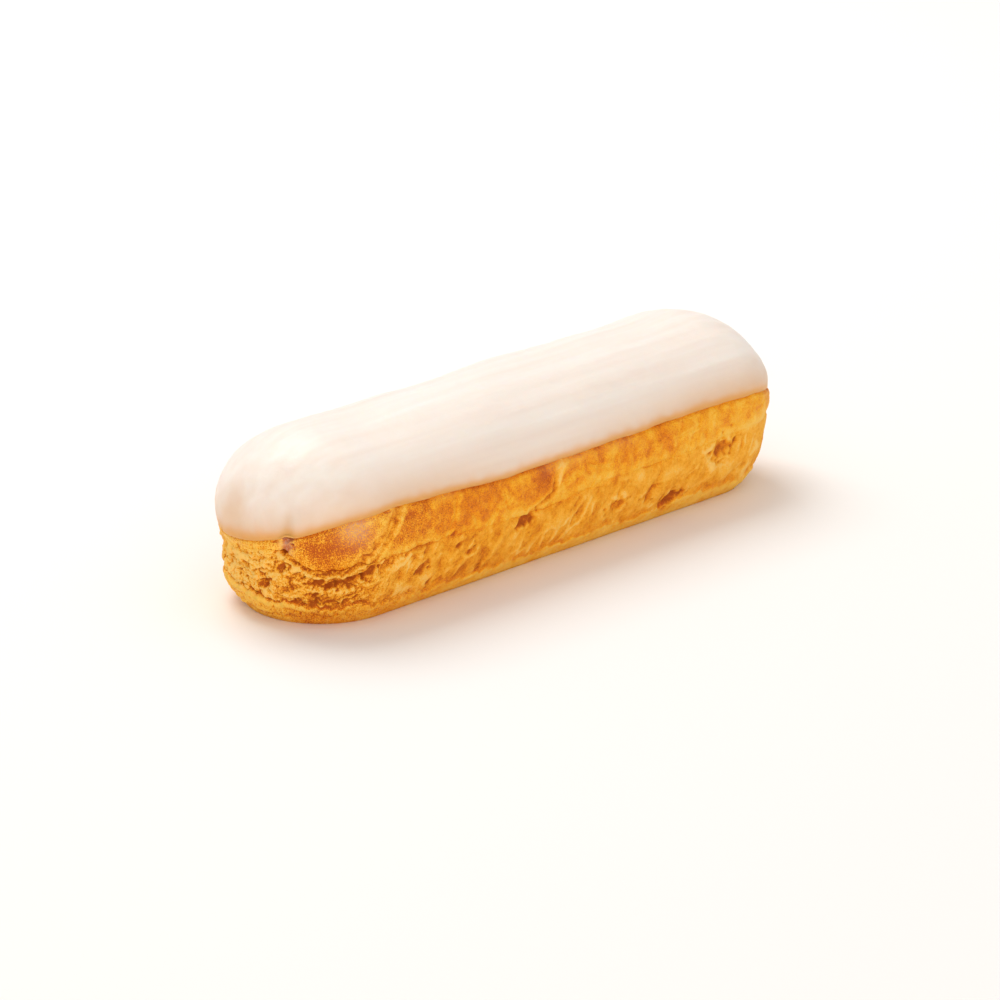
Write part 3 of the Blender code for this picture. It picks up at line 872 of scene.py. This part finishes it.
fondant = grid_mesh("fondant", fondant_grid, {
    "thin": np.concatenate([unseen, thin], axis=1),
    "painted_low_shade": np.concatenate([unseen, painted_low_shade], axis=1),
})

# %% [markdown]
# ## Centre the pieces on the frame
#
# The plain model has the middle of its outline over the origin. The objects could be moved there,
# but a pattern that reads their coordinates would slide. So the meshes' own points move by the
# same small step, and both objects stay at the origin.


# %% Slide both pieces
def box_of(piece):
    """The lowest and highest corner of a piece's mesh."""
    corners = np.array(piece.bound_box)
    return corners.min(axis=0), corners.max(axis=0)


low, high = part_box("icing")
mine = np.mean(box_of(fondant), axis=0)
step = (np.array(low) + np.array(high)) / 2 - mine
for piece in (bun, fondant):
    co = np.empty(len(piece.data.vertices) * 3)
    piece.data.vertices.foreach_get("co", co)
    co = co.reshape(-1, 3) + [step[0], step[1], 0]
    piece.data.vertices.foreach_set("co", co.ravel())
    piece.data.update()
print("slid by", (step[:2] / MM).round(2), "mm")

# %% [markdown]
# ## Helpers for the materials
#
# Colours are written as hex values, the way a paint program shows them, and turned to the linear
# numbers that a shader needs. Nodes could be added by hand in the shader editor, but a script can
# be read and run again. One helper adds a node, sets it and links it.


# %% Colour and node helpers
def colour(hex_value):
    """Linear red, green, blue and alpha from an sRGB hex value."""
    parts = np.array([int(hex_value[i:i + 2], 16) for i in (1, 3, 5)]) / 255
    linear = np.where(parts <= 0.04045, parts / 12.92, ((parts + 0.055) / 1.055) ** 2.4)
    return (*linear.tolist(), 1.0)


def new_material(name):
    """A material with nothing in it, and its node tree."""
    material = bpy.data.materials.new(name)
    material.use_nodes = True
    material.node_tree.nodes.clear()
    return material, material.node_tree


def node(tree, kind, inputs=None, ramp=None, **settings):
    """Adds a node. inputs name or number its input sockets, and give each another node's output,
    a hex colour or a plain value. ramp lists a colour ramp's stops. settings are its own."""
    made = tree.nodes.new(kind)
    for key, value in settings.items():
        setattr(made, key, value)
    for index, (position, shade) in enumerate(ramp or []):
        elements = made.color_ramp.elements
        stop = elements[index] if index < len(elements) else elements.new(position)
        stop.position, stop.color = position, colour(shade)
    for key, value in (inputs or {}).items():
        if isinstance(value, bpy.types.NodeSocket):
            tree.links.new(value, made.inputs[key])
        else:
            made.inputs[key].default_value = colour(value) if isinstance(value, str) else value
    return made


print("middle grey, #808080, is", round(colour("#808080")[0], 3), "in linear light")

# %% [markdown]
# ## Choux crust
#
# Choux crust is dried egg dough. Where it touched the oven's air it browned to a deep gold, and
# it has the dull sheen of dry varnish. Where it tore it is paler and quite matt: thin walls catch
# the light, and light sinks into the hollows and comes back orange. One flat orange would look
# like plastic. So both bands get painted shade, darker and more orange, in the hollows that were
# measured on the shape, and the browned bands' colour follows blotches a few millimetres across,
# pebbles under a millimetre across and a fine speckle. The cap also gets a painted shadow under the
# icing's edge and a painted sheen below it, and the crust band is painted paler, partly for light
# thrown up from below.

# %% Patterns and measures that the crust's colour follows
CRUST_PATTERNS = {  # size in mm, then the noise's own inputs
    "blotches": (3.85, {"Detail": 4, "Roughness": 0.6}),  # thicker skin browned sooner
    "pebbles": (0.77, {"Detail": 3, "Roughness": 0.65}),  # blisters of the drying skin
    "grain": (0.25, {"Detail": 2, "Roughness": 0.7}),  # pores are 0.1 mm: drawn coarser, to show
}
FLAKE_SIZE = 1.25 * MM
crust_material, tree = new_material("choux_crust")
position = node(tree, "ShaderNodeTexCoord").outputs["Object"]
value = {
    title: node(tree, "ShaderNodeAttribute", attribute_name=title).outputs["Fac"] for title in MEASURES
}
for title, (size, settings) in CRUST_PATTERNS.items():
    inputs = {"Vector": position, "Scale": 1 / (size * MM), **settings}
    value[title] = node(tree, "ShaderNodeTexNoise", inputs).outputs["Fac"]
flake_inputs = {"Vector": position, "Scale": 1 / FLAKE_SIZE, "Detail": 4}
flakes = node(tree, "ShaderNodeTexNoise", flake_inputs, noise_type="RIDGED_MULTIFRACTAL")
value["flakes"] = flakes.outputs["Fac"]
print("the crust follows", len(value), "measures and patterns")

# %% Add them up
# Each sum starts from a number and adds a share of each measure or pattern. Each product is made
# of two of them. A sum may follow what was made before it.
CRUST_VALUES = {
    "centred": (-0.5, {"grain": 1.0}),
    "speckle": ("centred", "dryness"),
    "browning": (0.115, {
        "blotches": 0.85, "pebbles": 0.3, "speckle": 2.6, "fine_hollow_shade": 0.18, "toast": 0.22,
        "shade_and_browning_under_icing": 0.22, "cracked": -0.22, "crust": -0.21, "hollow_shade": 0.3, "lip": -0.2,
    }),
    "depth": (-0.32, {
        "blotches": 1.1, "pebbles": 0.5, "speckle": 1.8, "fine_hollow_shade": 0.25, "toast": 0.22,
        "hollow_shade": 0.38, "flakes": -0.12, "membrane": -0.3,
    }),
    "dried": (-0.75, {"grain": 2.1}),
    "painted_sheen": ("gloss_and_sheen", "dried"),
    "roughness": (0.55, {"torn": 0.25, "gloss_and_sheen": -0.2}),
    "torn_flakes": ("flakes", "torn"),
    "relief": (0.0, {"pebbles": 1.0, "grain": 0.5, "torn_flakes": 0.7}),
}
for title, (first, second) in CRUST_VALUES.items():
    if isinstance(second, str):
        inputs = {0: value[first], 1: value[second]}
        value[title] = node(tree, "ShaderNodeMath", inputs, operation="MULTIPLY").outputs[0]
    else:
        total = first
        for part, share in second.items():
            inputs = {0: value[part], 1: share, 2: total}
            total = node(tree, "ShaderNodeMath", inputs, operation="MULTIPLY_ADD").outputs[0]
        value[title] = total
print("the crust's colour takes", len(tree.nodes), "nodes so far")

# %% The crust's colours and shader
BROWNED = [(0.20, "#ffc852"), (0.44, "#fdb524"), (0.58, "#f69e0a"), (0.72, "#eb8602"), (0.98, "#c05600")]
TORN = [(0.02, "#ffcb6a"), (0.28, "#ffb83c"), (0.52, "#f3a11c"), (0.74, "#dc7c0e"), (1.00, "#b2560a")]
# SHEEN_COLOUR is a painted sheen, mixed into the cap below the icing.
SHEEN_COLOUR = "#f0c8a6"
browned = node(tree, "ShaderNodeValToRGB", {"Fac": value["browning"]}, BROWNED).outputs["Color"]
torn_colour = node(tree, "ShaderNodeValToRGB", {"Fac": value["depth"]}, TORN).outputs["Color"]
surface = browned
for factor, shade in ((value["torn"], torn_colour), (value["painted_sheen"], SHEEN_COLOUR)):
    inputs = {0: factor, 6: surface, 7: shade}
    surface = node(tree, "ShaderNodeMix", inputs, data_type="RGBA").outputs[2]
bump_inputs = {"Height": value["relief"], "Strength": 0.8, "Distance": 0.3 * MM}
crust_bump = node(tree, "ShaderNodeBump", bump_inputs)
crust_shader = node(tree, "ShaderNodeBsdfPrincipled", {
    "Base Color": surface, "Roughness": value["roughness"], "Normal": crust_bump.outputs["Normal"],
    "IOR": 1.45, "Specular IOR Level": 0.28,
    "Subsurface Weight": 0.1, "Subsurface Radius": (1.0, 0.45, 0.15), "Subsurface Scale": 1 * MM,
})
node(tree, "ShaderNodeOutputMaterial", {"Surface": crust_shader.outputs["BSDF"]})
bun.data.materials.append(crust_material)
print("choux crust has", len(tree.nodes), "nodes")

# %% [markdown]
# ## Fondant
#
# Fondant is sugar and water, worked until the sugar forms crystals too fine to feel. Light goes a
# millimetre or two into it and comes back, which makes it look soft, and its skin is satin. A
# plain white would look like paint. So it is warm white with faint lengthwise streaks from the
# wipe, it gets painted tan shade low down, and where it thins out at the edge the crust shows through.

# %% The fondant's colour
STREAK_SIZE, STREAK_LENGTH = 3.03 * MM, 20  # a streak is this many times longer than it is wide
CLOUD_SIZE = 11.1 * MM
SUGAR_SIZE = 0.5 * MM  # crystals are 0.02 mm: drawn coarser, to show as satin
fondant_material, tree = new_material("fondant")
position = node(tree, "ShaderNodeTexCoord").outputs["Object"]
thinness = node(tree, "ShaderNodeAttribute", attribute_name="thin").outputs["Fac"]
low_shade = node(tree, "ShaderNodeAttribute", attribute_name="painted_low_shade").outputs["Fac"]
along_streaks = {"Vector": position, "Scale": (1 / STREAK_LENGTH, 1, 1)}
stretched = node(tree, "ShaderNodeMapping", along_streaks).outputs[0]
streaks, clouds, sugar = (
    node(tree, "ShaderNodeTexNoise", {"Vector": place, "Scale": 1 / size, "Detail": 3}).outputs["Fac"]
    for place, size in ((stretched, STREAK_SIZE), (position, CLOUD_SIZE), (position, SUGAR_SIZE))
)
LAYERS = [  # what each colour follows, how much of it there is at most, and the colour
    (streaks, 1.0, "#efd9ca"),
    (clouds, 0.6, "#f9e8db"),
    # painted tan shade low down, in the dimple and by the notch
    (low_shade, 0.75, "#e9c6a6"),
    (thinness, 0.88, "#e59d3a"),
]
body = "#fff7f0"
for amount, share, shade in LAYERS:
    factor = node(tree, "ShaderNodeMath", {0: amount, 1: share}, operation="MULTIPLY").outputs[0]
    body = node(tree, "ShaderNodeMix", {0: factor, 6: body, 7: shade}, data_type="RGBA").outputs[2]
print("fondant is coloured in", len(LAYERS) + 1, "layers")

# %% The fondant's shader
fondant_bump = node(tree, "ShaderNodeBump", {"Height": sugar, "Strength": 0.6, "Distance": 0.08 * MM})
fondant_shader = node(tree, "ShaderNodeBsdfPrincipled", {
    "Base Color": body, "Normal": fondant_bump.outputs["Normal"], "Roughness": 0.42, "IOR": 1.48,
    "Specular IOR Level": 0.4,
    "Subsurface Weight": 0.5, "Subsurface Radius": (1.0, 0.75, 0.55), "Subsurface Scale": 1.5 * MM,
})
node(tree, "ShaderNodeOutputMaterial", {"Surface": fondant_shader.outputs["BSDF"]})
fondant.data.materials.append(fondant_material)
print("fondant has", len(tree.nodes), "nodes")

# %% [markdown]
# ## Floor, light and camera
#
# Pale food could be lit from the front, but that flattens it. It is lit softly from behind, so
# that its top glows and its near side keeps some shadow. A big lamp above and behind does that,
# and a weak one low in front stands for the light that a pale table throws back.

# %% The floor
HALF = 3.0  # of its side, in metres
floor_mesh = bpy.data.meshes.new("floor")
floor_mesh.from_pydata(
    [(-HALF, -HALF, 0), (HALF, -HALF, 0), (HALF, HALF, 0), (-HALF, HALF, 0)], [], [(0, 1, 2, 3)])
floor = bpy.data.objects.new("floor", floor_mesh)
bpy.context.scene.collection.objects.link(floor)
floor_material, tree = new_material("floor_paper")
floor_shader = node(tree, "ShaderNodeBsdfPrincipled", {"Base Color": "#f6f3ef", "Roughness": 0.8})
node(tree, "ShaderNodeOutputMaterial", {"Surface": floor_shader.outputs["BSDF"]})
floor_mesh.materials.append(floor_material)
print("the floor is", 2 * HALF, "m wide")

# %% The lamps and the room
LAMPS = [  # name, place in metres, side in metres, power in watts, colour
    ("window", (0.12, 0.60, 0.90), 0.7, 7.0, "#ffffff"),
    ("fill", (-0.56, -0.68, 0.24), 0.7, 2.4, "#fff4e8"),
]
ROOM_COLOUR, ROOM_STRENGTH = "#ffffff", 0.66
AIM = Vector((0, 0, 20 * MM))  # the lamps face the middle of the eclair


def lamp(name, place, size, power, shade):
    """A square lamp that shines at the eclair from a place."""
    data = bpy.data.lights.new(name, "AREA")
    data.size, data.energy, data.color = size, power, colour(shade)[:3]
    made = bpy.data.objects.new(name, data)
    made.location = place
    made.rotation_euler = (AIM - Vector(place)).to_track_quat("-Z", "Y").to_euler()
    bpy.context.scene.collection.objects.link(made)


for settings in LAMPS:
    lamp(*settings)
world = bpy.data.worlds.new("room")
world.use_nodes = True
background = world.node_tree.nodes["Background"]
background.inputs["Color"].default_value = colour(ROOM_COLOUR)
background.inputs["Strength"].default_value = ROOM_STRENGTH
bpy.context.scene.world = world
print(len(LAMPS), "lamps light it")

# %% The camera
# A long lens, 19 degrees above the table, looking along the eclair from its near end.
AZIMUTH, ELEVATION = np.radians(45.9), np.radians(19)
DISTANCE, RIGHT_SHIFT, UP_SHIFT = 0.901, 0.0006, -0.0073
LENS, SENSOR, NEAREST = 151.2, 36, 0.01
forward = np.array([
    np.sin(AZIMUTH) * np.cos(ELEVATION), np.cos(AZIMUTH) * np.cos(ELEVATION), -np.sin(ELEVATION),
])
right = np.array([np.cos(AZIMUTH), -np.sin(AZIMUTH), 0])
above = np.cross(right, forward)
camera_data = bpy.data.cameras.new("camera")
camera_data.lens, camera_data.sensor_width, camera_data.clip_start = LENS, SENSOR, NEAREST
camera = bpy.data.objects.new("camera", camera_data)
camera.location = -DISTANCE * forward - RIGHT_SHIFT * right - UP_SHIFT * above
camera.rotation_euler = Vector(forward).to_track_quat("-Z", "Y").to_euler()
bpy.context.scene.collection.objects.link(camera)
bpy.context.scene.camera = camera
bpy.context.scene.view_settings.view_transform = "Standard"
print("the camera stands at", np.round(camera.location, 2), "m")

# %% [markdown]
# ## Parent the pieces in place of the plain nodes
#
# An eclair has one body, and nothing on it moves. Each piece is parented to an empty for that
# body, and the plain node it stands in for is hidden, so that the piece takes its place.

# %% Parent the pieces and hide the plain nodes
for piece, plain_node, slot in ((bun, "choux", "choux_crust"), (fondant, "icing", "fondant")):
    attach(piece, "root")
    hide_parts(plain_node)
